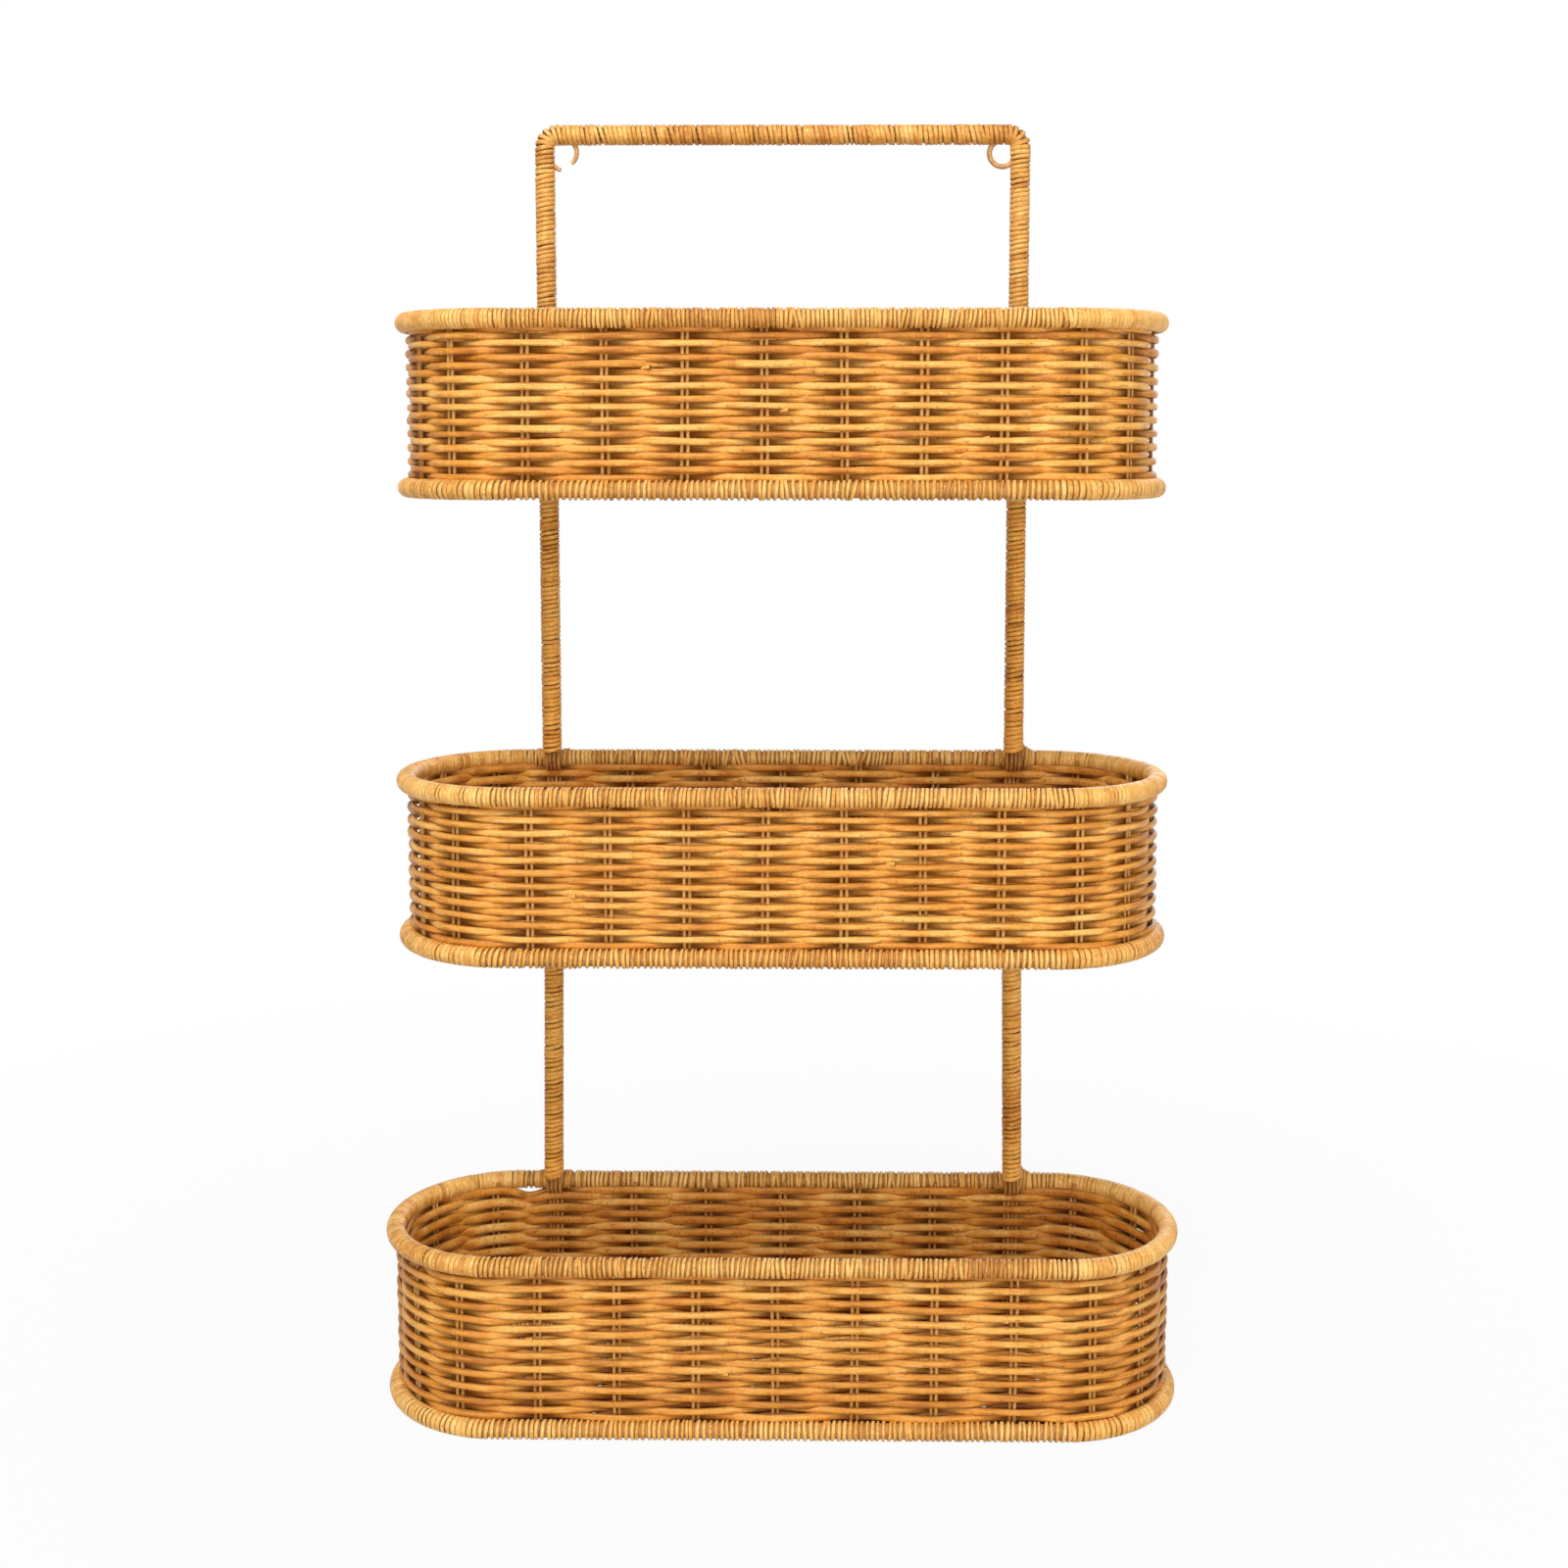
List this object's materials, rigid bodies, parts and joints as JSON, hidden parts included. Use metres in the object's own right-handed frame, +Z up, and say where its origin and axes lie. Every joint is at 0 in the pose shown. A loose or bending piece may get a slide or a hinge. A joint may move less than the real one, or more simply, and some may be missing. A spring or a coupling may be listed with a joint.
{
  "type": "tiered wicker wall basket",
  "caption": "Wicker wall basket: oblong woven trays with cane-wrapped rims, one above another on a wrapped hanging frame with cane eyes at its top corners.",
  "frame": {"origin": "bottom centre of the whole part: the middle of the flat under the lower basket", "axes": "+Z up along the wall, +X to the right seen from the front, +Y towards the wall"},
  "size_m": [0.415, 0.13, 0.6632],
  "materials": {
    "wrapping_cane": "satin peeled cane, honey gold",
    "weaver_cane": "satin round reed, golden brown",
    "stake_cane": "satin round reed, brown",
    "peeled_stick": "matte peeled stick, brown",
    "eye_cane": "satin core cane, pinkish tan"
  },
  "bodies": {
    "root": {"frame_sticks": "peeled_stick", "frame_packing": "peeled_stick", "hanger_binding": "wrapping_cane", "middle_post_bindings": "wrapping_cane", "lower_post_bindings": "wrapping_cane", "left_eye": "eye_cane", "right_eye": "eye_cane", "upper_lashings": "wrapping_cane", "middle_lashings": "wrapping_cane", "lower_lashings": "wrapping_cane", "upper_top_hoop": "peeled_stick", "upper_top_binding": "wrapping_cane", "upper_bottom_hoop": "peeled_stick", "upper_bottom_binding": "wrapping_cane", "upper_stakes": "stake_cane", "upper_weave": "weaver_cane", "upper_floor_sticks": "stake_cane", "upper_floor_weave": "weaver_cane", "middle_top_hoop": "peeled_stick", "middle_top_binding": "wrapping_cane", "middle_bottom_hoop": "peeled_stick", "middle_bottom_binding": "wrapping_cane", "middle_stakes": "stake_cane", "middle_weave": "weaver_cane", "middle_floor_sticks": "stake_cane", "middle_floor_weave": "weaver_cane", "lower_top_hoop": "peeled_stick", "lower_top_binding": "wrapping_cane", "lower_bottom_hoop": "peeled_stick", "lower_bottom_binding": "wrapping_cane", "lower_stakes": "stake_cane", "lower_weave": "weaver_cane", "lower_floor_sticks": "stake_cane", "lower_floor_weave": "weaver_cane"}
  },
  "joints": []
}
